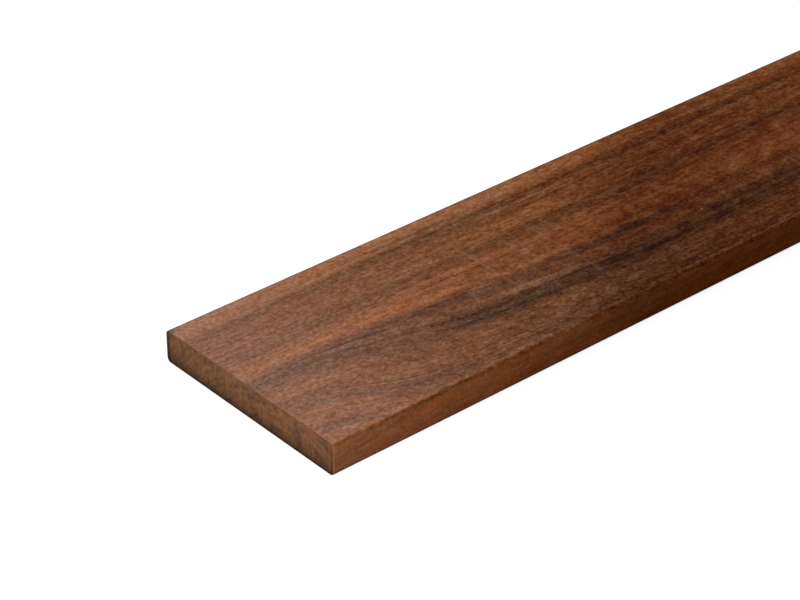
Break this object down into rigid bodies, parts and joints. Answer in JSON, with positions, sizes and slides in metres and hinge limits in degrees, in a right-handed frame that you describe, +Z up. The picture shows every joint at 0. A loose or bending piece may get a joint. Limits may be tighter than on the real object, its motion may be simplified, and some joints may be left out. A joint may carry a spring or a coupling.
{
  "type": "hardwood decking board",
  "caption": "Straight smooth-planed hardwood decking board with rounded long edges and square sawn ends, laid flat across joists as a walking surface.",
  "frame": {"origin": "centre of the board's underside", "axes": "+X along the length, +Y across the width, +Z up out of the walking face"},
  "size_m": [1.83, 0.145, 0.021],
  "materials": {
    "hardwood": "planed smooth, unoiled satin, with darker streaks along the grain"
  },
  "bodies": {
    "root": {"decking_board": "hardwood"}
  },
  "joints": []
}
